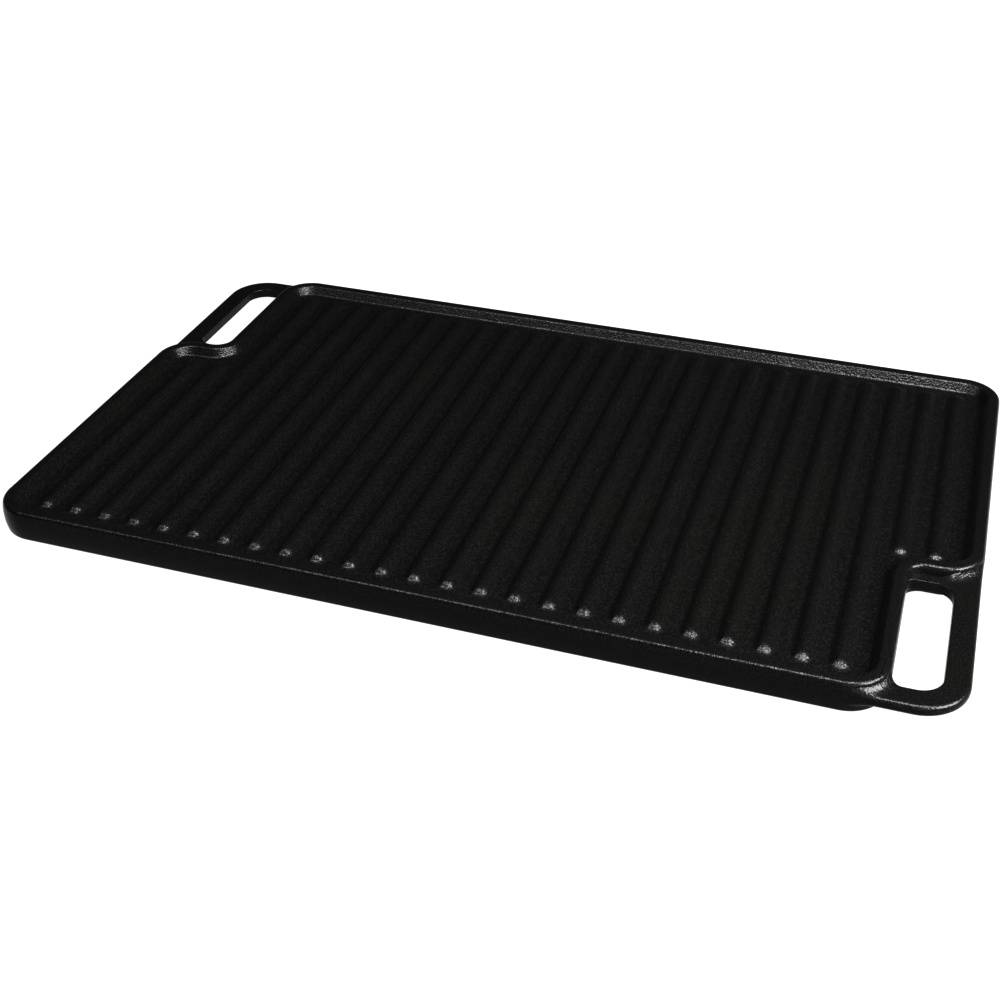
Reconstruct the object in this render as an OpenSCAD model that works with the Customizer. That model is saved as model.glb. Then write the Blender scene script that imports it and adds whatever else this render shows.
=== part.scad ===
// Reversible cast-iron griddle plate for two burners: ribs above, a flat face below, a rim all round,
// and a loop handle in each of two opposite notched corners.
// The origin is the middle of the plate on the surface that it rests on. X runs along the plate.

/* [Plate] */
// Overall length, handles included
plate_l = 613; // [440:1:760]
// Overall width, handles included
plate_w = 374; // [300:1:480]
// Overall height of the rim
plate_h = 21; // [18:0.5:32]
// Outer radius of the plate's corners
corner_r = 26; // [20:0.5:32]
// Thickness of the web between the two cooking faces
web_t = 6; // [4:0.5:8]
// Depth of the ribbed face's floor below the top of the rim
ribbed_depth = 6.5; // [5:0.1:8]

/* [Rim] */
// Width of the rim across its crest and its foot
rim_crest_w = 7.2; // [5.5:0.1:9]
// Width of the rim where its inner wall meets the cooking faces
rim_wall_w = 13.2; // [11.5:0.1:15]
// Width of the level strip between the inner wall and the web's edge
rim_strip_w = 2.3; // [2:0.1:4]
// How far the outer wall leans in above and below the parting band
rim_draft = 1.3; // [0.5:0.1:2]
// Height of the upright parting band round the outside
parting_band = 8.5; // [8:0.1:10]
// Radius along the edges of the rim
rim_edge_r = 2.2; // [0.5:0.1:2.5]
// Radius where the inner wall meets the cooking faces
rim_fillet_r = 3; // [1:0.1:3.5]

/* [Notches] */
// Length of each notch along the plate
notch_l = 43.2; // [38:0.1:60]
// Width of each notch across the plate
notch_w = 124.8; // [100:0.1:140]
// Outer radius of the inner corner of each notch
notch_r = 10; // [6:0.5:14]

/* [Handles] */
// Width of the handle's bar
handle_bar_w = 15; // [11:0.5:18]
// Thickness of the handle's bar
handle_bar_t = 7; // [6:0.1:8]
// Radius along the edges of the bar
handle_edge_r = 2.7; // [1:0.1:2.9]
// Radius of the outer corner of the loop
handle_corner_r = 29.5; // [22:0.5:34]
// Radius inside the loop where its back bar meets its side bar
handle_back_r = 13; // [8:0.5:16]
// Radius inside the loop where its front bar runs into the plate
handle_root_r = 7; // [5:0.5:12]
// How far the loop stands inside the plate's overall rectangle
handle_inset = 0.4; // [0.3:0.1:3]

/* [Ribs] */
// Distance between the middles of two ribs
rib_pitch = 21.3; // [16:0.1:30]
// Width of a rib at its foot
rib_w = 11; // [8:0.1:13]
// Height of a rib above the floor
rib_h = 3.4; // [2:0.1:4]
// Level floor left between the ends of a rib and the rim
rib_end_gap = 4.6; // [0.5:0.1:12]
// Level floor left between a short rib and the rim of its notch
short_rib_gap = 0.5; // [0.3:0.1:12]
// Least level floor left between the last rib and the rim
rib_side_gap = 4; // [2:0.1:12]

/* [Hidden] */
$fn = 96;

iron_black = "#1b1a19";
worn_black = "#242220";

// Width of the whole rim, its level strip included
rim_base_w = rim_wall_w + rim_strip_w;
// Half sizes of the overall rectangle
half_l = plate_l / 2;
half_w = plate_w / 2;
// Places of the two notch walls at the front right
notch_x = half_l - notch_l;
notch_y = notch_w - half_w;
// Heights of the ribbed floor, the flat face under it, and the middle of the web
floor_z = plate_h - ribbed_depth;
flat_z = floor_z - web_t;
mid_z = (floor_z + flat_z) / 2;
// Steps in one rounded edge of a profile
round_steps = 6;
// How far a cutting shape reaches past what it cuts
past = 1;
// How deep the fillet at the front bar's root reaches into the wall
root_sink = 1;
// Middle of the handle's bars at the right and at the front
bar_x = half_l - handle_inset - handle_bar_w / 2;
bar_y = half_w - handle_inset - handle_bar_w / 2;
// Radius of the bar's middle round the loop's corner
bar_turn_r = handle_corner_r - handle_bar_w / 2;
// Radius of a rib's round back
rib_r = (pow(rib_w / 2, 2) + pow(rib_h, 2)) / (2 * rib_h);
// Places of the ribs' middles, counted from the middle rib
rib_reach = half_l - rim_base_w - rib_side_gap - rib_w / 2;
rib_side_count = floor(rib_reach / rib_pitch);
// A rib whose middle lies past this line stops at the notch
short_rib_x = notch_x - rim_base_w - rib_side_gap - rib_w / 2;
// Ends of a full rib and of a short rib
rib_end_y = half_w - rim_base_w - rib_end_gap;
short_end_y = -notch_y - rim_base_w - short_rib_gap;

// Direction from one point to another, one unit long
function towards(a, b) = (b - a) / norm(b - a);

// Points of the arc that rounds one corner of a profile, where r is zero for a sharp corner
function rounded_corner(before, corner, after, r) =
    let (
        to_before = towards(corner, before),
        to_after = towards(corner, after),
        half_angle = acos(to_before * to_after) / 2,
        middle = corner + towards([0, 0], to_before + to_after) * r / sin(half_angle),
        from_point = corner + to_before * r / tan(half_angle),
        start = atan2(from_point.y - middle.y, from_point.x - middle.x),
        side = to_before.x * to_after.y - to_before.y * to_after.x,
        sweep = (side > 0 ? -1 : 1) * (180 - 2 * half_angle)
    )
    r == 0 ? [corner] : [
        for (i = [0 : round_steps])
            middle + r * [cos(start + sweep * i / round_steps), sin(start + sweep * i / round_steps)]
    ];

// Outline with each corner of the list rounded, where a corner is [x, y, radius]
function rounded_outline(corners) = [
    for (i = [0 : len(corners) - 1])
        let (
            last = len(corners) - 1,
            before = corners[i == 0 ? last : i - 1],
            after = corners[i == last ? 0 : i + 1]
        )
        each rounded_corner([before.x, before.y], [corners[i].x, corners[i].y],
            [after.x, after.y], corners[i].z)
];

// Section of the rim: x runs inwards from the outer wall, y runs up
module rim_section() {
    crest_in = rim_draft + rim_crest_w;
    polygon(rounded_outline([
        [rim_draft, 0, rim_edge_r],
        [crest_in, 0, rim_edge_r],
        [rim_wall_w, flat_z, rim_fillet_r],
        [rim_base_w, flat_z, 0],
        [rim_base_w, floor_z, 0],
        [rim_wall_w, floor_z, rim_fillet_r],
        [crest_in, plate_h, rim_edge_r],
        [rim_draft, plate_h, rim_edge_r],
        [0, mid_z + parting_band / 2, 0],
        [0, mid_z - parting_band / 2, 0]
    ]));
}

// Straight run of rim from start, of the given length, where heading turns it about the vertical
// and the plate lies on its left
module rim_run(start, heading, length) {
    translate([start.x, start.y, 0]) rotate([0, 0, heading])
        rotate([90, 0, 90]) linear_extrude(height = length) rim_section();
}

// Quarter turn of rim round an outer corner of the plate, whose middle is at place
module rim_turn(place, heading) {
    translate([place.x, place.y, 0]) rotate([0, 0, heading])
        rotate_extrude(angle = 90) translate([corner_r, 0]) mirror([1, 0]) rim_section();
}

// Quarter turn of rim round the inner corner of a notch, whose middle is at place
module rim_inner_turn(place, heading) {
    translate([place.x, place.y, 0]) rotate([0, 0, heading])
        rotate_extrude(angle = 90) translate([notch_r, 0]) rim_section();
}

// Quarter disc with its middle at the origin, that fills x and y from zero to r
module quarter_disc(r) {
    intersection() {
        circle(r);
        square(r);
    }
}

// Outline of the plate drawn in by inset, notches and round corners included
module plate_outline(inset) {
    outer_r = corner_r - inset;
    inner_r = notch_r + inset;
    edge_x = half_l - corner_r;
    edge_y = half_w - corner_r;
    side_x = notch_x - corner_r;
    step_y = notch_y + corner_r;
    difference() {
        union() {
            square([2 * edge_x, 2 * (half_w - inset)], center = true);
            for (turn = [0, 180]) rotate(turn) {
                translate([edge_x, step_y]) square([outer_r, edge_y - step_y]);
                translate([edge_x, edge_y]) quarter_disc(outer_r);
                translate([edge_x, step_y]) mirror([0, 1]) quarter_disc(outer_r);
            }
        }
        for (turn = [0, 180]) rotate(turn) difference() {
            translate([side_x, -half_w]) square([half_l, half_w + notch_y + inset]);
            translate([side_x, -edge_y]) mirror([0, 1]) quarter_disc(outer_r);
            translate([side_x - past, -edge_y]) square([outer_r + past, half_w]);
            translate([notch_x - inset - past, notch_y - notch_r]) difference() {
                square(inner_r + past);
                translate([inner_r + past, 0]) circle(inner_r);
            }
        }
    }
}

// Half of the plate turned about the vertical, for what both ends share
module at_back() {
    rotate([0, 0, 180]) children();
}

// One rib from y = low to y = high, with a round back and round noses, its foot at floor level
module rib(low, high) {
    nose_r = rib_w / 2;
    module section() {
        intersection() {
            translate([0, rib_h - rib_r]) circle(rib_r);
            translate([-nose_r, 0]) square([2 * nose_r, rib_h]);
        }
    }
    module half_section() {
        intersection() {
            section();
            square([nose_r, rib_h]);
        }
    }
    translate([0, high - nose_r, 0]) rotate([90, 0, 0])
        linear_extrude(height = high - low - 2 * nose_r) section();
    translate([0, high - nose_r, 0]) rotate_extrude(angle = 180) half_section();
    translate([0, low + nose_r, 0]) rotate([0, 0, 180]) rotate_extrude(angle = 180) half_section();
}

// Ribs whose places are listed, all from y = low to y = high
module ribs_at(places, low, high) {
    for (i = places)
        translate([i * rib_pitch, 0, floor_z]) rib(low, high);
}

// Section of the handle's bar, its middle at the origin
module bar_section() {
    half_bar = handle_bar_w / 2;
    half_t = handle_bar_t / 2;
    polygon(rounded_outline([
        [half_bar, -half_t, handle_edge_r],
        [half_bar, half_t, handle_edge_r],
        [-half_bar, half_t, handle_edge_r],
        [-half_bar, -half_t, handle_edge_r]
    ]));
}

// Quarter of a ring of bar with its middle at place
module bar_turn(place, heading, r) {
    translate([place.x, place.y, mid_z]) rotate([0, 0, heading])
        rotate_extrude(angle = 90) translate([r, 0]) bar_section();
}

// Loop handle of the front right notch, cut to the plate's outer wall, which takes half of its back bar
module loop_handle() {
    turn_x = bar_x - bar_turn_r;
    turn_y = -bar_y + bar_turn_r;
    back_turn_r = handle_back_r + handle_bar_w / 2;
    root_turn_r = handle_root_r + handle_bar_w / 2;
    side_start = notch_y + corner_r;
    front_start = notch_x - corner_r;
    difference() {
        union() {
            translate([bar_x, side_start, mid_z]) rotate([90, 0, 0])
                linear_extrude(height = side_start - turn_y) bar_section();
            bar_turn([turn_x, turn_y], 270, bar_turn_r);
            translate([front_start, -bar_y, mid_z]) rotate([90, 0, 90])
                linear_extrude(height = turn_x - front_start) bar_section();
            translate([front_start, notch_y, mid_z]) rotate([90, 0, 90])
                linear_extrude(height = bar_x - back_turn_r - front_start) bar_section();
            bar_turn([bar_x - back_turn_r, notch_y - back_turn_r], 0, back_turn_r);
            bar_turn([notch_x + handle_root_r - root_sink, -bar_y + root_turn_r], 180, root_turn_r);
        }
        translate([0, 0, mid_z - handle_bar_t / 2 - past])
            linear_extrude(height = handle_bar_t + 2 * past) plate_outline(0);
    }
}

module cooking_plate() {
    color(iron_black) translate([0, 0, flat_z])
        linear_extrude(height = web_t) plate_outline(rim_base_w);
}

module long_ribs() {
    full = [for (i = [-rib_side_count : rib_side_count]) if (abs(i) * rib_pitch <= short_rib_x) i];
    color(iron_black) ribs_at(full, -rib_end_y, rib_end_y);
}

module right_short_ribs() {
    short = [for (i = [0 : rib_side_count]) if (i * rib_pitch > short_rib_x) i];
    color(iron_black) ribs_at(short, -short_end_y, rib_end_y);
}

module left_short_ribs() {
    color(iron_black) at_back() right_short_ribs();
}

module front_rim() {
    left = corner_r - half_l;
    right = notch_x - corner_r;
    color(iron_black) {
        rim_turn([left, corner_r - half_w], 180);
        rim_run([left, -half_w], 0, right - left);
        rim_turn([right, corner_r - half_w], 270);
    }
}

module back_rim() {
    at_back() front_rim();
}

module front_right_notch_rim() {
    side_low = corner_r - half_w;
    side_high = notch_y - notch_r;
    step_left = notch_x + notch_r;
    step_right = half_l - corner_r;
    color(iron_black) {
        rim_run([notch_x, side_low], 90, side_high - side_low);
        rim_inner_turn([step_left, side_high], 90);
        rim_run([step_left, notch_y], 0, step_right - step_left);
        rim_turn([step_right, notch_y + corner_r], 270);
    }
}

module back_left_notch_rim() {
    at_back() front_right_notch_rim();
}

module right_rim() {
    low = notch_y + corner_r;
    color(iron_black) rim_run([half_l, low], 90, half_w - corner_r - low);
}

module left_rim() {
    at_back() right_rim();
}

module front_right_handle() {
    color(worn_black) loop_handle();
}

module back_left_handle() {
    at_back() front_right_handle();
}

cooking_plate();
long_ribs();
right_short_ribs();
left_short_ribs();
front_rim();
back_rim();
right_rim();
left_rim();
front_right_notch_rim();
back_left_notch_rim();
front_right_handle();
back_left_handle();
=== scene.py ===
"""Looks of the camp griddle plate: one seasoned iron casting, dressed region by region.

Lengths are in metres in the shared frame: X runs along the plate, Y to its back, and Z up from where it
rests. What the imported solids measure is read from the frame, and finer sizes are named here in millimetres.
"""

import logging
import math
from collections.abc import Mapping, Sequence
from dataclasses import dataclass
from enum import Enum
from typing import ClassVar

import bmesh
import bpy
import numpy as np
from mathutils import Matrix, Vector


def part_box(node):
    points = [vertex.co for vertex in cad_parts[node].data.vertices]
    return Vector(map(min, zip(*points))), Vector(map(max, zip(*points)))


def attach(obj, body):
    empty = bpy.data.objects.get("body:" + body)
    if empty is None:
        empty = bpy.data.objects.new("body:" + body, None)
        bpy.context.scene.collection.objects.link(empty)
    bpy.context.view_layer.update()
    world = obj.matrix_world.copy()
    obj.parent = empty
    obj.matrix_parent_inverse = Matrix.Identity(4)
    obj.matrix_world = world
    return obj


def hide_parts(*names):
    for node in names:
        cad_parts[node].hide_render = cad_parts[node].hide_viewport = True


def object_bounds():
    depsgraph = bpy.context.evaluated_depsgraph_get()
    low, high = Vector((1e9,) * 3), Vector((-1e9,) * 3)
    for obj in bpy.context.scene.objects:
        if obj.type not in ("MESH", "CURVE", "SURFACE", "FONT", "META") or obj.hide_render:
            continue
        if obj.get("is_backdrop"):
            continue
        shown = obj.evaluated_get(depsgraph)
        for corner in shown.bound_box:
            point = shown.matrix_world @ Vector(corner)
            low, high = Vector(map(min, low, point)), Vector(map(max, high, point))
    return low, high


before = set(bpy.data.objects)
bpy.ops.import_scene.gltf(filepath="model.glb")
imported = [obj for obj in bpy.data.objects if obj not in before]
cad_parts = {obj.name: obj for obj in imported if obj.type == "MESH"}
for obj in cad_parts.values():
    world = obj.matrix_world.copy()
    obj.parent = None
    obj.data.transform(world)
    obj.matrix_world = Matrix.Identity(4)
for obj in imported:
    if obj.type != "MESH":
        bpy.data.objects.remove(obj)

LOG = logging.getLogger("griddle_plate")
MM = 0.001
BODY = "root"
ARC_STEP = math.radians(7.5)
SHARP_ANGLE = math.radians(40)


class Half(Enum):
    """Half of the plate that a region is in, with the turn about Z that takes the front half there."""

    FRONT = 0.0
    BACK = math.pi

    def matrix(self) -> Matrix:
        """Turn that takes a region of the front half to this half."""
        return Matrix.Rotation(self.value, 4, "Z")


class RimStretch(Enum):
    """Stretch of the rim, as its first and last knot on the rim's path."""

    LONG_SIDE = (0, 3)
    NOTCH = (3, 7)
    SHORT_END = (7, 8)


def linear_colour(hex_code: str) -> tuple[float, float, float, float]:
    """Turns an sRGB colour into linear light.

    Args:
        hex_code: Colour as six hex digits after a number sign.

    Returns:
        Red, green, blue and an alpha of one.
    """
    parts = [int(hex_code[i : i + 2], 16) / 255 for i in (1, 3, 5)]
    linear = [c / 12.92 if c <= 0.04045 else ((c + 0.055) / 1.055) ** 2.4 for c in parts]
    return (*linear, 1.0)


def add_node(
    tree: bpy.types.NodeTree,
    kind: str,
    settings: Mapping[str, object] | None = None,
    inputs: Mapping[str | int, object] | None = None,
) -> bpy.types.Node:
    """Adds one node to a tree, with its settings, its values and what feeds it.

    Args:
        tree: Tree that takes the node.
        kind: Identifier of the node's type.
        settings: Properties of the node by name.
        inputs: A value, or the output socket that feeds it, for each input by name or place.

    Returns:
        The new node.
    """
    node = tree.nodes.new(kind)
    for name, value in (settings or {}).items():
        setattr(node, name, value)
    for key, value in (inputs or {}).items():
        if isinstance(value, bpy.types.NodeSocket):
            tree.links.new(value, node.inputs[key])
        else:
            node.inputs[key].default_value = value
    return node


def add_noise(
    tree: bpy.types.NodeTree,
    place: bpy.types.NodeSocket,
    size_mm: float,
    detail: float = 0.0,
    roughness: float = 0.5,
) -> bpy.types.NodeSocket:
    """Adds a noise with grains of a real size.

    Args:
        tree: Tree that takes the noise.
        place: Socket with the place on the piece.
        size_mm: Size of a grain in millimetres.
        detail: How many finer layers the noise has.
        roughness: Share of each finer layer.

    Returns:
        Socket with the noise, about one half on average.
    """
    inputs = {"Vector": place, "Scale": 1 / (size_mm * MM), "Detail": detail, "Roughness": roughness}
    return add_node(tree, "ShaderNodeTexNoise", inputs=inputs).outputs["Fac"]


def add_range(
    tree: bpy.types.NodeTree,
    value: bpy.types.NodeSocket,
    given: tuple[float, float],
    wanted: tuple[float, float] = (0.0, 1.0),
) -> bpy.types.NodeSocket:
    """Adds a node that maps one range of values to another.

    Args:
        tree: Tree that takes the node.
        value: Socket with the value.
        given: Range of the value that is mapped.
        wanted: Range that it becomes.

    Returns:
        Socket with the mapped value.
    """
    inputs = {
        "Value": value,
        "From Min": given[0],
        "From Max": given[1],
        "To Min": wanted[0],
        "To Max": wanted[1],
    }
    return add_node(tree, "ShaderNodeMapRange", inputs=inputs).outputs["Result"]


def add_object(name: str, data: bpy.types.ID) -> bpy.types.Object:
    """Adds an object to the scene.

    Args:
        name: Name of the object.
        data: Mesh, curve, light or camera that it holds.

    Returns:
        The new object.
    """
    new_object = bpy.data.objects.new(name, data)
    bpy.context.scene.collection.objects.link(new_object)
    return new_object


def plain_mesh(body: bmesh.types.BMesh, name: str, *materials: bpy.types.Material) -> bpy.types.Mesh:
    """Turns a mesh that is being built into a plain one.

    Args:
        body: Mesh that is being built, which is freed.
        name: Name of the plain mesh.
        materials: Material of each slot, in order.

    Returns:
        The plain mesh.
    """
    mesh = bpy.data.meshes.new(name)
    body.to_mesh(mesh)
    body.free()
    for material in materials:
        mesh.materials.append(material)
    return mesh


def rounded_outline(corners: Sequence[Sequence[float]], step: float = ARC_STEP) -> list[Vector]:
    """Points of a closed outline with rounded corners.

    Args:
        corners: Corners as (x, y, radius), where a radius of zero leaves a corner sharp.
        step: Angle between two points of an arc.

    Returns:
        Points of the outline, in the order of the corners.
    """
    points = []
    for i, (x, y, radius) in enumerate(corners):
        corner = Vector((x, y))
        if radius == 0:
            points.append(corner)
            continue
        before = (Vector(corners[i - 1][:2]) - corner).normalized()
        after = (Vector(corners[(i + 1) % len(corners)][:2]) - corner).normalized()
        half_angle = before.angle(after) / 2
        middle = corner + (before + after).normalized() * (radius / math.sin(half_angle))
        start = corner + before * (radius / math.tan(half_angle)) - middle
        turn = math.copysign(math.pi - 2 * half_angle, -before.cross(after))
        steps = max(2, round(abs(turn) / step))
        points += [middle + Matrix.Rotation(turn * k / steps, 2) @ start for k in range(steps + 1)]
    return points


def corner_distance(
    x: np.ndarray, y: np.ndarray, edge_x: float, edge_y: float, radius: float
) -> np.ndarray:
    """Distance from an outline that has one rounded corner at its front right.

    Args:
        x: Places along the plate.
        y: Places across the plate.
        edge_x: Where the outline's right side is.
        edge_y: Where the outline's front side is.
        radius: Radius of the corner between them.

    Returns:
        Distance outside the outline for each place, below zero inside it.
    """
    over_x = x - (edge_x - radius)
    over_y = (edge_y + radius) - y
    outside = np.hypot(np.maximum(over_x, 0), np.maximum(over_y, 0))
    return outside + np.minimum(np.maximum(over_x, over_y), 0) - radius


def edge_drop(gap: np.ndarray, radius: float) -> np.ndarray:
    """How far a rounded edge falls away from a flat face.

    Args:
        gap: Distances from the edge.
        radius: Radius of the edge.

    Returns:
        The fall at each distance.
    """
    into = np.clip(radius - gap, 0, radius)
    return radius - np.sqrt(radius**2 - into**2)


def finish_piece(mesh: bpy.types.Mesh, node: str, half: Half, sharp_angle: float = SHARP_ANGLE) -> None:
    """Makes a mesh of the front half into the piece that stands for one CAD node.

    Args:
        mesh: Closed mesh, placed in the front half, with its material set.
        node: Name of the CAD node that the piece replaces.
        half: Half of the plate that the node is in.
        sharp_angle: Angle between two faces past which their edge stays sharp.
    """
    mesh.transform(half.matrix())
    mesh.shade_smooth()
    mesh.set_sharp_from_angle(angle=sharp_angle)
    mesh.name = node + "_casting"
    piece = add_object(node + "_casting", mesh)
    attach(piece, BODY)
    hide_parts(node)
    LOG.info("%s: %d faces", piece.name, len(mesh.polygons))


def run_tree(tree: bpy.types.NodeTree, values: Mapping[str, object]) -> bpy.types.Mesh:
    """Runs a geometry tree on an empty mesh.

    Args:
        tree: Geometry tree with named inputs.
        values: Value of each input by its name.

    Returns:
        What the tree makes, as a plain mesh.
    """
    host = add_object(tree.name + "_host", bpy.data.meshes.new(tree.name + "_host"))
    modifier = host.modifiers.new(tree.name, "NODES")
    modifier.node_group = tree
    for item in tree.interface.items_tree:
        if item.in_out == "INPUT" and item.name in values:
            modifier[item.identifier] = values[item.name]
    evaluated = host.evaluated_get(bpy.context.evaluated_depsgraph_get())
    mesh = bpy.data.meshes.new_from_object(evaluated)
    host.modifiers.remove(modifier)
    empty_mesh = host.data
    bpy.data.objects.remove(host)
    bpy.data.meshes.remove(empty_mesh)
    return mesh


def new_geometry_tree(name: str, inputs: Mapping[str, str]) -> bpy.types.NodeTree:
    """Starts a geometry tree.

    Args:
        name: Name of the tree.
        inputs: Socket type of each input by its name.

    Returns:
        The tree, with its inputs and one geometry output.
    """
    tree = bpy.data.node_groups.new(name, "GeometryNodeTree")
    for label, socket_type in inputs.items():
        tree.interface.new_socket(label, in_out="INPUT", socket_type=socket_type)
    tree.interface.new_socket("Geometry", in_out="OUTPUT", socket_type="NodeSocketGeometry")
    return tree


@dataclass(frozen=True)
class SeasonedCastIron:
    """Sand-cast grey iron under black, baked-on oil.

    The sand leaves a fine pebble grain all over, which breaks each highlight into glints. The oil film is a
    dark, satin dielectric that is a little browner and glossier where it lies thicker, and worn grains show
    through it as paler specks.
    """

    black: str = "#090909"
    brown: str = "#0a0a09"
    speck: str = "#121212"
    pebble_mm: float = 1.3
    pebble_depth_mm: float = 0.13
    pebble_smoothness: float = 0.6
    grit_mm: float = 0.9
    grit_share: float = 0.6
    ripple_mm: float = 7.0
    ripple_depth_mm: float = 0.05
    oil_patch_mm: float = 45.0
    oil_range: tuple[float, float] = (0.3, 0.7)
    stain_mm: float = 120.0
    stain_roughness: float = 0.6
    stain_range: tuple[float, float] = (0.42, 0.68)
    speck_mm: float = 1.0
    speck_range: tuple[float, float] = (0.48, 0.68)
    roughness_range: tuple[float, float] = (0.22, 0.28)
    specular: float = 0.14

    MIX_FIRST: ClassVar[int] = 6
    MIX_SECOND: ClassVar[int] = 7
    MIX_RESULT: ClassVar[int] = 2

    def grain(self, tree: bpy.types.NodeTree, place: bpy.types.NodeSocket) -> bpy.types.NodeSocket:
        """Surface left by the sand: pebbles and grit over a broad, shallow ripple.

        Args:
            tree: Tree of the material.
            place: Socket with the place on the piece.

        Returns:
            Socket with the normal of the grained surface.
        """
        pebble = add_node(
            tree,
            "ShaderNodeTexVoronoi",
            {"feature": "SMOOTH_F1"},
            {"Vector": place, "Scale": 1 / (self.pebble_mm * MM), "Smoothness": self.pebble_smoothness},
        )
        height = add_node(
            tree,
            "ShaderNodeMath",
            {"operation": "MULTIPLY_ADD"},
            {0: add_noise(tree, place, self.grit_mm), 1: self.grit_share, 2: pebble.outputs["Distance"]},
        )
        ripple = add_node(
            tree,
            "ShaderNodeBump",
            inputs={
                "Height": add_noise(tree, place, self.ripple_mm, detail=1.0),
                "Distance": self.ripple_depth_mm * MM,
                "Strength": 1.0,
            },
        )
        bump = add_node(
            tree,
            "ShaderNodeBump",
            inputs={
                "Height": height.outputs[0],
                "Distance": self.pebble_depth_mm * MM,
                "Strength": 1.0,
                "Normal": ripple.outputs["Normal"],
            },
        )
        return bump.outputs["Normal"]

    def colour(self, tree: bpy.types.NodeTree, place: bpy.types.NodeSocket) -> bpy.types.NodeSocket:
        """Colour of the oil film, black to brown, with paler worn grains.

        Args:
            tree: Tree of the material.
            place: Socket with the place on the piece.

        Returns:
            Socket with the colour.
        """
        stain = add_noise(tree, place, self.stain_mm, detail=4.0, roughness=self.stain_roughness)
        film = add_node(
            tree,
            "ShaderNodeMix",
            {"data_type": "RGBA"},
            {
                "Factor": add_range(tree, stain, self.stain_range),
                self.MIX_FIRST: linear_colour(self.black),
                self.MIX_SECOND: linear_colour(self.brown),
            },
        )
        worn = add_node(
            tree,
            "ShaderNodeMix",
            {"data_type": "RGBA"},
            {
                "Factor": add_range(tree, add_noise(tree, place, self.speck_mm), self.speck_range),
                self.MIX_FIRST: film.outputs[self.MIX_RESULT],
                self.MIX_SECOND: linear_colour(self.speck),
            },
        )
        return worn.outputs[self.MIX_RESULT]

    def material(self) -> bpy.types.Material:
        """Builds the material."""
        material = bpy.data.materials.new("seasoned_cast_iron")
        material.use_nodes = True
        tree = material.node_tree
        tree.nodes.clear()
        place = add_node(tree, "ShaderNodeTexCoord").outputs["Object"]
        oil = add_noise(tree, place, self.oil_patch_mm, detail=3.0)
        shader = add_node(
            tree,
            "ShaderNodeBsdfPrincipled",
            inputs={
                "Base Color": self.colour(tree, place),
                "Roughness": add_range(tree, oil, self.oil_range, self.roughness_range),
                "Specular IOR Level": self.specular,
                "Normal": self.grain(tree, place),
            },
        )
        add_node(tree, "ShaderNodeOutputMaterial", inputs={"Surface": shader.outputs["BSDF"]})
        return material


@dataclass(frozen=True)
class OpalAcrylic:
    """Matt opal acrylic, lit from below: an even white with hardly a shadow on it."""

    name: str = "opal_acrylic"
    face: str = "#303030"
    light: str = "#ffffff"
    roughness: float = 0.9
    specular: float = 0.0
    glow: float = 1.0

    def material(self) -> bpy.types.Material:
        """Builds the material."""
        material = bpy.data.materials.new(self.name)
        material.use_nodes = True
        shader = material.node_tree.nodes["Principled BSDF"]
        shader.inputs["Base Color"].default_value = linear_colour(self.face)
        shader.inputs["Roughness"].default_value = self.roughness
        shader.inputs["Specular IOR Level"].default_value = self.specular
        shader.inputs["Emission Color"].default_value = linear_colour(self.light)
        shader.inputs["Emission Strength"].default_value = self.glow
        return material


@dataclass(frozen=True)
class PlateSizes:
    """Sizes that the regions of the casting share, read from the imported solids."""

    half_l: float
    half_w: float
    top_z: float
    floor_z: float
    flat_z: float
    corner_r: float
    notch_x: float
    notch_y: float
    rim_w: float
    notch_r: float = 10 * MM

    @classmethod
    def from_frame(cls) -> "PlateSizes":
        """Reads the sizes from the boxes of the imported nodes."""
        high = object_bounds()[1]
        web_low, web_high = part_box("cooking_plate")
        front_low, front_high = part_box("front_rim")
        corner_r = front_high.y - front_low.y
        return cls(
            half_l=high.x,
            half_w=high.y,
            top_z=high.z,
            floor_z=web_high.z,
            flat_z=web_low.z,
            corner_r=corner_r,
            notch_x=front_high.x,
            notch_y=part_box("right_rim")[0].y - corner_r,
            rim_w=high.x - web_high.x,
        )

    def plan_corners(self, inset: float) -> list[tuple[float, float, float]]:
        """Corners of the plate in plan, counted from the front left one.

        Args:
            inset: How far the outline is drawn in from the plate's outer wall.

        Returns:
            Corners as (x, y, radius), those of the front half before those of the back half.
        """
        outer_r = self.corner_r - inset
        front = [
            (inset - self.half_l, inset - self.half_w, outer_r),
            (self.notch_x - inset, inset - self.half_w, outer_r),
            (self.notch_x - inset, self.notch_y + inset, self.notch_r + inset),
            (self.half_l - inset, self.notch_y + inset, outer_r),
        ]
        return front + [(-x, -y, r) for x, y, r in front]

    def wall_distance(self, x: np.ndarray, y: np.ndarray) -> np.ndarray:
        """Distance from the outer wall beside the front right notch.

        Args:
            x: Places along the plate.
            y: Places across the plate.

        Returns:
            Distance outside the wall for each place, below zero inside it.
        """
        beside = corner_distance(x, y, self.notch_x, -self.half_w, self.corner_r)
        behind = corner_distance(x, y, self.half_l, self.notch_y, self.corner_r)
        from_x = x - (self.notch_x + self.notch_r)
        from_y = y - (self.notch_y - self.notch_r)
        in_corner = self.notch_r - np.hypot(from_x, from_y)
        return np.where((from_x < 0) & (from_y > 0), in_corner, np.minimum(beside, behind))


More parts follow.
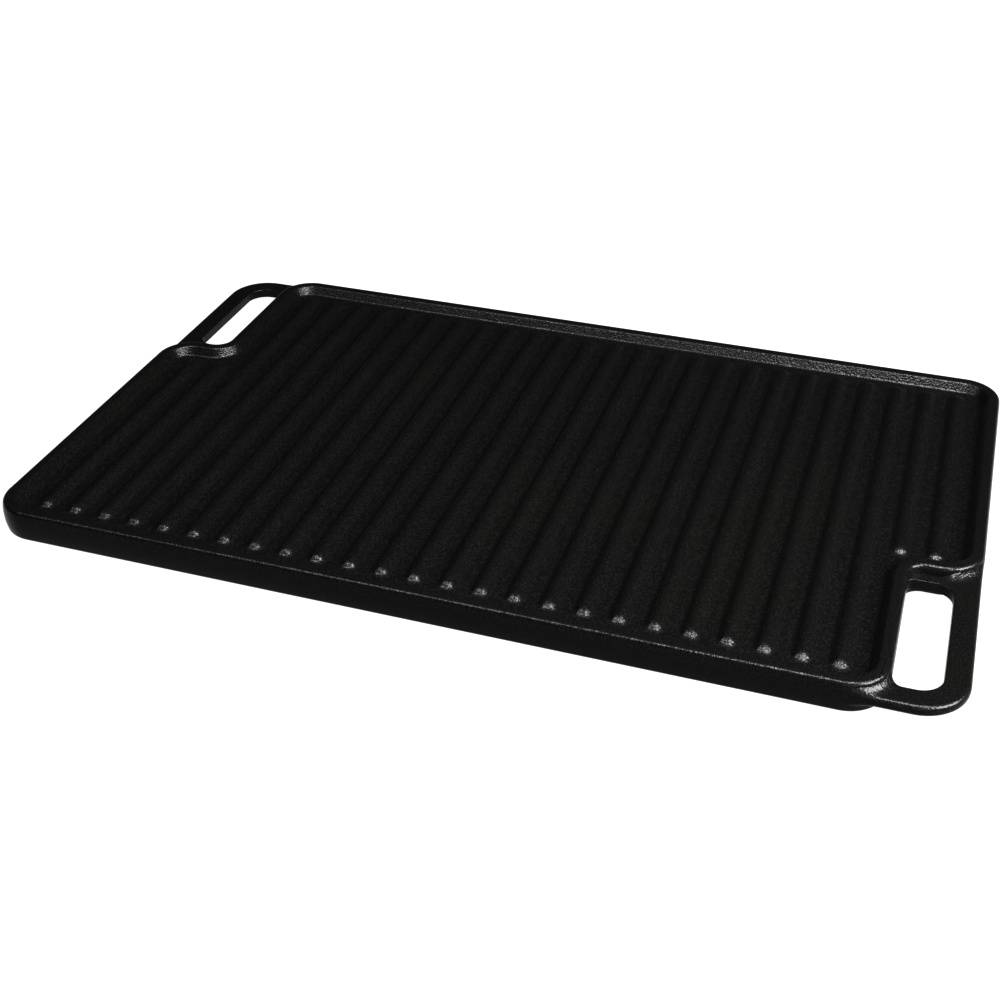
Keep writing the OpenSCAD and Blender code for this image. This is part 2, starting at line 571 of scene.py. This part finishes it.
@dataclass(frozen=True)
class CookingWeb:
    """Flat web between the ribbed face and the flat face."""

    sizes: PlateSizes
    iron: bpy.types.Material

    def build(self) -> None:
        """Makes the web's closed slab."""
        corners = self.sizes.plan_corners(self.sizes.rim_w)
        outline = rounded_outline(corners, math.radians(90 / Rim.TURN_STEPS))
        body = bmesh.new()
        lower = [body.verts.new((p.x, p.y, self.sizes.flat_z)) for p in outline]
        upper = [body.verts.new((p.x, p.y, self.sizes.floor_z)) for p in outline]
        body.faces.new(reversed(lower))
        body.faces.new(upper)
        for i in range(len(outline)):
            body.faces.new((lower[i - 1], lower[i], upper[i], upper[i - 1]))
        finish_piece(plain_mesh(body, "cooking_plate", self.iron), "cooking_plate", Half.FRONT)


@dataclass(frozen=True)
class Rim:
    """Raised rim, swept along the plate's outline in the stretches that the CAD nodes hold."""

    sizes: PlateSizes
    iron: bpy.types.Material
    crest_w: float = 7.2 * MM
    wall_w: float = 13.2 * MM
    draft: float = 1.3 * MM
    parting_band: float = 8.5 * MM
    edge_r: float = 2.2 * MM
    crest_edge_r: float = 2.8 * MM
    fillet_r: float = 3.0 * MM
    band_r: float = 26.0 * MM

    TURN_STEPS: ClassVar[int] = 32
    CIRCLE_HANDLE: ClassVar[float] = 4 / 3 * (math.sqrt(2) - 1)
    STRAIGHT_HANDLE: ClassVar[float] = 1 / 3
    NODES: ClassVar[dict[tuple[RimStretch, Half], str]] = {
        (RimStretch.LONG_SIDE, Half.FRONT): "front_rim",
        (RimStretch.LONG_SIDE, Half.BACK): "back_rim",
        (RimStretch.NOTCH, Half.FRONT): "front_right_notch_rim",
        (RimStretch.NOTCH, Half.BACK): "back_left_notch_rim",
        (RimStretch.SHORT_END, Half.FRONT): "right_rim",
        (RimStretch.SHORT_END, Half.BACK): "left_rim",
    }

    def section(self) -> list[Vector]:
        """Section of the rim, as (distance inwards from the outer wall, height)."""
        s = self.sizes
        crest_in = self.draft + self.crest_w
        middle = (s.floor_z + s.flat_z) / 2
        return rounded_outline([
            (self.draft, 0, self.edge_r),
            (crest_in, 0, self.edge_r),
            (self.wall_w, s.flat_z, self.fillet_r),
            (s.rim_w, s.flat_z, 0),
            (s.rim_w, s.floor_z, 0),
            (self.wall_w, s.floor_z, self.fillet_r),
            (crest_in, s.top_z, self.edge_r),
            (self.draft, s.top_z, self.crest_edge_r),
            (0, middle + self.parting_band / 2, self.band_r),
            (0, middle - self.parting_band / 2, self.band_r),
        ])

    def knots(self) -> list[tuple[Vector, Vector, Vector]]:
        """Knots of the rim's path round the front half, as (place, handle before, handle after)."""
        corners = self.sizes.plan_corners(0)
        places, handles = [], []
        for i, (x, y, radius) in enumerate(corners):
            corner = Vector((x, y, 0))
            for j in (i - 1, (i + 1) % len(corners)):
                away = (Vector((*corners[j][:2], 0)) - corner).normalized() * radius
                places.append(corner + away)
                handles.append(corner + away * (1 - self.CIRCLE_HANDLE))
        knots = []
        for i, place in enumerate(places):
            if i % 2 == 0:
                knots.append((place, place.lerp(places[i - 1], self.STRAIGHT_HANDLE), handles[i]))
            else:
                after = places[(i + 1) % len(places)]
                knots.append((place, handles[i], place.lerp(after, self.STRAIGHT_HANDLE)))
        return knots

    def section_curve(self) -> bpy.types.Object:
        """Closed curve of the section, turned as a sweep takes it."""
        points = self.section()
        data = bpy.data.curves.new("rim_section", "CURVE")
        data.dimensions = "3D"
        spline = data.splines.new("POLY")
        spline.points.add(len(points) - 1)
        for target, p in zip(spline.points, points):
            target.co = (-p.x, -p.y, 0, 1)
        spline.use_cyclic_u = True
        return add_object("rim_section", data)

    def path_curve(self, stretch: RimStretch) -> bpy.types.Object:
        """Curve that one stretch of the rim follows, in the front half.

        Args:
            stretch: The stretch of the rim.

        Returns:
            A curve object.
        """
        first, last = stretch.value
        knots = self.knots()[first : last + 1]
        data = bpy.data.curves.new("rim_path", "CURVE")
        data.dimensions = "3D"
        data.resolution_u = self.TURN_STEPS
        spline = data.splines.new("BEZIER")
        spline.bezier_points.add(len(knots) - 1)
        for target, (place, before, after) in zip(spline.bezier_points, knots):
            target.handle_left_type = target.handle_right_type = "FREE"
            target.co, target.handle_left, target.handle_right = place, before, after
        return add_object("rim_path", data)

    def sweep_tree(self) -> bpy.types.NodeTree:
        """Geometry tree that sweeps the section along a path and closes its ends."""
        tree = new_geometry_tree(
            "rim_sweep",
            {"Path": "NodeSocketObject", "Section": "NodeSocketObject", "Iron": "NodeSocketMaterial"},
        )
        given = add_node(tree, "NodeGroupInput").outputs
        path = add_node(tree, "GeometryNodeObjectInfo", inputs={"Object": given["Path"]})
        upright = add_node(
            tree,
            "GeometryNodeSetCurveNormal",
            {"mode": "Z_UP"},
            {"Curve": path.outputs["Geometry"]},
        )
        section = add_node(tree, "GeometryNodeObjectInfo", inputs={"Object": given["Section"]})
        sweep = add_node(
            tree,
            "GeometryNodeCurveToMesh",
            inputs={
                "Curve": upright.outputs["Curve"],
                "Profile Curve": section.outputs["Geometry"],
                "Fill Caps": True,
            },
        )
        real = add_node(tree, "GeometryNodeRealizeInstances", inputs={"Geometry": sweep.outputs["Mesh"]})
        dressed = add_node(
            tree,
            "GeometryNodeSetMaterial",
            inputs={"Geometry": real.outputs["Geometry"], "Material": given["Iron"]},
        )
        add_node(tree, "NodeGroupOutput", inputs={"Geometry": dressed.outputs["Geometry"]})
        return tree

    def build(self) -> None:
        """Sweeps each stretch of the rim."""
        tree = self.sweep_tree()
        section = self.section_curve()
        for (stretch, half), node in self.NODES.items():
            path = self.path_curve(stretch)
            mesh = run_tree(tree, {"Path": path, "Section": section, "Iron": self.iron})
            bpy.data.objects.remove(path)
            finish_piece(mesh, node, half)
        bpy.data.objects.remove(section)


@dataclass(frozen=True)
class Ribs:
    """Cooking ribs: one round-backed rib, repeated along the plate."""

    sizes: PlateSizes
    iron: bpy.types.Material
    pitch: float = 21.3 * MM
    width: float = 11.0 * MM
    foot_r: float = 4.6 * MM
    sink: float = 0.4 * MM
    bluntness: float = 3.0
    nose_l: float = 7.2 * MM

    NOSE_STEPS: ClassVar[int] = 20
    ARC_STEPS: ClassVar[int] = 12
    WELD: ClassVar[float] = 0.001 * MM

    def profile(self, height: float) -> list[tuple[float, float]]:
        """Half section of a rib from its ridge out to its foot.

        Args:
            height: Height of the rib above the floor.

        Returns:
            Points as (distance from the rib's middle line, height above the floor).
        """
        back_r = ((self.width / 2) ** 2 + height**2) / (2 * height)
        steepest = math.acos(1 - height / (back_r + self.foot_r))
        points = []
        for i in range(self.ARC_STEPS + 1):
            slope = steepest * i / self.ARC_STEPS
            points.append((back_r * math.sin(slope), height - back_r * (1 - math.cos(slope))))
        foot_x = (back_r + self.foot_r) * math.sin(steepest)
        for i in range(1, self.ARC_STEPS + 1):
            slope = steepest * (1 - i / self.ARC_STEPS)
            points.append((foot_x - self.foot_r * math.sin(slope), self.foot_r * (1 - math.cos(slope))))
        return points + [(foot_x, -self.sink)]

    def rib_object(self, low: float, high: float, height: float) -> bpy.types.Object:
        """One rib along Y with blunt, round-cornered noses, its foot on the floor.

        Args:
            low: Front end of the rib.
            high: Back end of the rib.
            height: Height of the rib above the floor.

        Returns:
            A mesh object whose middle line is at X = 0.
        """
        stretch = self.nose_l / (self.width / 2)
        rays = []
        for i in range(self.NOSE_STEPS + 1):
            angle = math.pi * i / self.NOSE_STEPS
            side = math.copysign(abs(math.cos(angle)) ** (2 / self.bluntness), math.cos(angle))
            ahead = stretch * abs(math.sin(angle)) ** (2 / self.bluntness)
            rays.append((side, ahead, high - self.nose_l))
        rays += [(-side, -ahead, low + self.nose_l) for side, ahead, _ in rays]
        body = bmesh.new()
        loops = [
            [body.verts.new((r * x, middle + r * y, self.sizes.floor_z + z)) for x, y, middle in rays]
            for r, z in self.profile(height)
        ]
        for inner, outer in zip(loops, loops[1:]):
            for i in range(len(rays)):
                body.faces.new((inner[i - 1], outer[i - 1], outer[i], inner[i]))
        body.faces.new(reversed(loops[-1]))
        bmesh.ops.remove_doubles(body, verts=body.verts, dist=self.WELD)
        return add_object("rib", plain_mesh(body, "rib", self.iron))

    def row_tree(self) -> bpy.types.NodeTree:
        """Geometry tree that repeats a rib along X."""
        tree = new_geometry_tree(
            "rib_row",
            {
                "Rib": "NodeSocketObject",
                "Count": "NodeSocketInt",
                "First": "NodeSocketFloat",
                "Pitch": "NodeSocketFloat",
                "Iron": "NodeSocketMaterial",
            },
        )
        given = add_node(tree, "NodeGroupInput").outputs
        first = add_node(tree, "ShaderNodeCombineXYZ", inputs={"X": given["First"]})
        step = add_node(tree, "ShaderNodeCombineXYZ", inputs={"X": given["Pitch"]})
        row = add_node(
            tree,
            "GeometryNodeMeshLine",
            {"mode": "OFFSET"},
            {"Count": given["Count"], "Start Location": first.outputs[0], "Offset": step.outputs[0]},
        )
        rib = add_node(tree, "GeometryNodeObjectInfo", inputs={"Object": given["Rib"]})
        ribs = add_node(
            tree,
            "GeometryNodeInstanceOnPoints",
            inputs={"Points": row.outputs["Mesh"], "Instance": rib.outputs["Geometry"]},
        )
        real = add_node(tree, "GeometryNodeRealizeInstances", inputs={"Geometry": ribs.outputs["Instances"]})
        dressed = add_node(
            tree,
            "GeometryNodeSetMaterial",
            inputs={"Geometry": real.outputs["Geometry"], "Material": given["Iron"]},
        )
        add_node(tree, "NodeGroupOutput", inputs={"Geometry": dressed.outputs["Geometry"]})
        return tree

    def build(self) -> None:
        """Makes the long ribs and the short ribs of each end."""
        tree = self.row_tree()
        for node, source, half in (
            ("long_ribs", "long_ribs", Half.FRONT),
            ("right_short_ribs", "right_short_ribs", Half.FRONT),
            ("left_short_ribs", "right_short_ribs", Half.BACK),
        ):
            low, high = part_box(source)
            first = low.x + self.width / 2
            count = round((high.x - low.x - self.width) / self.pitch) + 1
            rib = self.rib_object(low.y, high.y, high.z - self.sizes.floor_z)
            values = {"Rib": rib, "Count": count, "First": first, "Pitch": self.pitch, "Iron": self.iron}
            mesh = run_tree(tree, values)
            bpy.data.objects.remove(rib)
            finish_piece(mesh, node, half)


@dataclass(frozen=True)
class LoopHandles:
    """Loop handle in each notch: a flat bar round the finger slot, filleted into the plate's wall."""

    sizes: PlateSizes
    iron: bpy.types.Material
    bar_w: float = 15.0 * MM
    edge_r: float = 2.7 * MM
    slot_edge_r: float = 0.6 * MM
    corner_r: float = 29.5 * MM
    back_r: float = 11.0 * MM
    root_r: float = 7.0 * MM
    slot_r: float = 4.5 * MM
    fillet_r: float = 8.0 * MM
    fillet_lift: float = 3.5 * MM
    fade_l: float = 9.0 * MM
    sink: float = 0.5 * MM
    depth: float = 4.0 * MM

    TURN_STEPS: ClassVar[int] = 28
    RUN_STEPS: ClassVar[int] = 12
    EDGE_STEPS: ClassVar[int] = 8
    FLAT_STEPS: ClassVar[int] = 20
    REACH_STEPS: ClassVar[int] = 600
    REACH_BARS: ClassVar[float] = 4.0
    SHARP_ANGLE: ClassVar[float] = math.radians(60)

    def slot_edge(self, low: Vector, high: Vector) -> list[tuple[Vector, Vector]]:
        """Points along the edge of the finger slot, from its back left corner round to its front left one.

        Args:
            low: Lowest corner of the handle's box.
            high: Highest corner of the handle's box.

        Returns:
            For each point its place and the direction away from the slot.
        """
        wall_x = self.sizes.notch_x - self.sink
        side_x = high.x - self.bar_w
        front_y = low.y + self.bar_w
        back_y = self.sizes.notch_y - self.bar_w / 2
        inner_r = self.corner_r - self.bar_w
        edge = []
        for x, y, radius, start in (
            (wall_x + self.slot_r, back_y - self.slot_r, self.slot_r, math.pi),
            (side_x - self.back_r, back_y - self.back_r, self.back_r, math.pi / 2),
            (side_x - inner_r, front_y + inner_r, inner_r, 0.0),
            (wall_x + self.root_r, front_y + self.root_r, self.root_r, -math.pi / 2),
        ):
            turn = []
            for i in range(self.TURN_STEPS + 1):
                angle = start - math.pi / 2 * i / self.TURN_STEPS
                out = Vector((math.cos(angle), math.sin(angle)))
                turn.append((Vector((x, y)) + out * radius, out))
            if edge:
                last, out = edge[-1]
                edge += [(last.lerp(turn[0][0], i / self.RUN_STEPS), out) for i in range(1, self.RUN_STEPS)]
            edge += turn
        return edge

    def rise(self, gap: np.ndarray, thickness: float) -> np.ndarray:
        """How far the fillet at the wall lifts a face of the bar.

        Args:
            gap: Distances from the wall.
            thickness: Thickness of the bar.

        Returns:
            The lift at each distance, up to where the fillet runs into the leaning wall.
        """
        half_band = Rim.parting_band / 2
        lean = Rim.draft / (self.sizes.top_z / 2 - half_band)
        wall_gap = -(thickness / 2 + self.fillet_lift - half_band) * lean
        steepest = math.sqrt(1 - (1 - self.fillet_lift / self.fillet_r) ** 2)
        share = np.clip((wall_gap - gap) / self.fillet_r + steepest, 0, steepest)
        return self.fillet_r * (1 - np.sqrt(1 - share**2))

    def fillet_share(self, x: np.ndarray, y: np.ndarray, low: Vector, high: Vector) -> np.ndarray:
        """Share of the fillet that is left: all of it at the bars, and none behind the finger slot.

        Args:
            x: Places along the plate.
            y: Places across the plate.
            low: Lowest corner of the handle's box.
            high: Highest corner of the handle's box.

        Returns:
            The share at each place.
        """
        along = np.clip(1 + (x - high.x + self.bar_w) / self.fade_l, 0, 1)
        return np.where(y > (low.y + high.y) / 2, along**2 * (3 - 2 * along), 1.0)

    def rings(self, low: Vector, high: Vector) -> list[np.ndarray]:
        """Rings of points round the bar, one for each point of the slot's edge.

        Args:
            low: Lowest corner of the handle's box.
            high: Highest corner of the handle's box.

        Returns:
            Points of each ring: its upper side going out from the slot, then its lower side coming back.
        """
        thickness = high.z - low.z
        middle_z = (low.z + high.z) / 2
        quarter = 1 - np.cos(np.linspace(0, math.pi / 2, self.EDGE_STEPS + 1))
        flat_share = np.linspace(0, 1, self.FLAT_STEPS + 1)[1:-1]
        tries = np.linspace(0, self.REACH_BARS * self.bar_w, self.REACH_STEPS + 1)
        rings = []
        for place, out in self.slot_edge(low, high):
            x, y = place.x + out.x * tries, place.y + out.y * tries
            outer_gap = -corner_distance(x, y, high.x, low.y, self.corner_r)
            left = np.minimum(outer_gap, self.sizes.wall_distance(x, y) + self.depth)
            last = int(np.argmax(left <= 0))
            width = np.interp(0, left[[last, last - 1]], tries[[last, last - 1]])
            inner = self.slot_edge_r * quarter
            outer = width - self.edge_r * quarter[::-1]
            flat = inner[-1] + (outer[0] - inner[-1]) * flat_share
            travel = np.concatenate((inner, flat, outer))
            x, y = place.x + out.x * travel, place.y + out.y * travel
            outer_gap = -corner_distance(x, y, high.x, low.y, self.corner_r)
            lift = self.rise(self.sizes.wall_distance(x, y), thickness) * self.fillet_share(x, y, low, high)
            drop = edge_drop(travel, self.slot_edge_r) + edge_drop(outer_gap, self.edge_r)
            half = thickness / 2 + lift - drop
            upper = np.column_stack((x, y, middle_z + half))
            lower = np.column_stack((x, y, middle_z - half))
            rings.append(np.concatenate((upper, lower[::-1])))
        return rings

    def build(self) -> None:
        """Makes both handles."""
        rings = self.rings(*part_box("front_right_handle"))
        for node, half in (("front_right_handle", Half.FRONT), ("back_left_handle", Half.BACK)):
            body = bmesh.new()
            loops = [[body.verts.new(p) for p in ring] for ring in rings]
            for near, far in zip(loops, loops[1:]):
                for i in range(len(near)):
                    body.faces.new((near[i - 1], near[i], far[i], far[i - 1]))
            body.faces.new(loops[0])
            body.faces.new(reversed(loops[-1]))
            bmesh.ops.recalc_face_normals(body, faces=body.faces)
            finish_piece(plain_mesh(body, node, self.iron), node, half, self.SHARP_ANGLE)


@dataclass(frozen=True)
class SoftLight:
    """Soft light with a rectangular face, turned to the plate."""

    name: str
    place: tuple[float, float, float]
    width: float
    height: float
    watts: float

    def hang(self) -> None:
        """Adds the light to the scene."""
        data = bpy.data.lights.new(self.name, "AREA")
        data.shape = "RECTANGLE"
        data.size = self.width
        data.size_y = self.height
        data.energy = self.watts
        light = add_object(self.name, data)
        light.location = self.place
        light.rotation_euler = Vector(self.place).to_track_quat("Z", "Y").to_euler()


@dataclass(frozen=True)
class Studio:
    """Pale floor, soft lights and the camera at the photograph's angle."""

    camera_at: tuple[float, float, float] = (0.25075, -0.82046, 0.54803)
    camera_down: float = math.radians(33.875)
    camera_left: float = math.radians(18.268)
    lens_mm: float = 52.672
    sensor_mm: float = 36.0
    floor_r: float = 12.0
    sweep_r: float = 1.3
    floor_gap: float = 0.2 * MM
    backdrop_glow: float = 0.4
    lights: tuple[SoftLight, ...] = (
        SoftLight("key_light", (1.0, -0.3, 0.68), 0.8, 0.6, 92.0),
        SoftLight("high_strip", (0.35, -0.37, 1.2), 0.8, 0.3, 46.0),
        SoftLight("over_strip", (0.35, -0.12, 1.2), 0.8, 0.3, 10.0),
        SoftLight("left_strip", (-0.35, -0.32, 1.15), 0.5, 0.25, 16.0),
        SoftLight("far_left_strip", (-0.9, -0.36, 1.15), 0.5, 0.25, 6.0),
        SoftLight("low_light", (0.75, -1.22, 0.51), 0.9, 0.6, 8.0),
        SoftLight("top_light", (0.1, 0.3, 2.2), 2.2, 2.2, 12.0),
    )
    room: str = "#ffffff"
    room_strength: float = 0.02
    film_gamma: float = 0.66

    SWEEP_STEPS: ClassVar[int] = 16
    FLOOR_SIDES: ClassVar[int] = 96
    BACKDROP_SLOT: ClassVar[int] = 1

    def floor(self) -> None:
        """Lays the white floor, which sweeps up into a low, dimmer backdrop all round."""
        profile = []
        for i in range(self.SWEEP_STEPS + 1):
            turn = math.pi / 2 * i / self.SWEEP_STEPS
            height = self.sweep_r * (1 - math.cos(turn)) - self.floor_gap
            profile.append((self.floor_r + self.sweep_r * math.sin(turn), height))
        angles = [2 * math.pi * i / self.FLOOR_SIDES for i in range(self.FLOOR_SIDES)]
        body = bmesh.new()
        loops = [[body.verts.new((r * math.cos(a), r * math.sin(a), z)) for a in angles] for r, z in profile]
        body.faces.new(loops[0])
        for inner, outer in zip(loops, loops[1:]):
            for i in range(self.FLOOR_SIDES):
                face = body.faces.new((inner[i - 1], outer[i - 1], outer[i], inner[i]))
                face.material_index = self.BACKDROP_SLOT
        white = OpalAcrylic().material()
        dim = OpalAcrylic("dim_opal_acrylic", glow=self.backdrop_glow).material()
        add_object("studio_floor", plain_mesh(body, "studio_floor", white, dim))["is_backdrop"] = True

    def build(self) -> None:
        """Sets up the floor, the lights, the room's dim light and the camera."""
        scene = bpy.context.scene
        self.floor()
        for light in self.lights:
            light.hang()
        world = bpy.data.worlds.new("studio_room")
        world.use_nodes = True
        background = world.node_tree.nodes["Background"].inputs
        background["Color"].default_value = linear_colour(self.room)
        background["Strength"].default_value = self.room_strength
        scene.world = world
        scene.view_settings.view_transform = "Standard"
        scene.view_settings.gamma = self.film_gamma
        data = bpy.data.cameras.new("photo_camera")
        data.lens = self.lens_mm
        data.sensor_width = self.sensor_mm
        camera = add_object("photo_camera", data)
        camera.location = self.camera_at
        camera.rotation_euler = (math.pi / 2 - self.camera_down, 0, self.camera_left)
        scene.camera = camera


def main() -> None:
    """Builds and dresses the plate, region by region, and sets it in the studio."""
    logging.basicConfig(level=logging.INFO, format="%(message)s")
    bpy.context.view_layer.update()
    sizes = PlateSizes.from_frame()
    iron = SeasonedCastIron().material()
    CookingWeb(sizes, iron).build()
    Rim(sizes, iron).build()
    Ribs(sizes, iron).build()
    LoopHandles(sizes, iron).build()
    Studio().build()


if __name__ == "__main__":
    main()
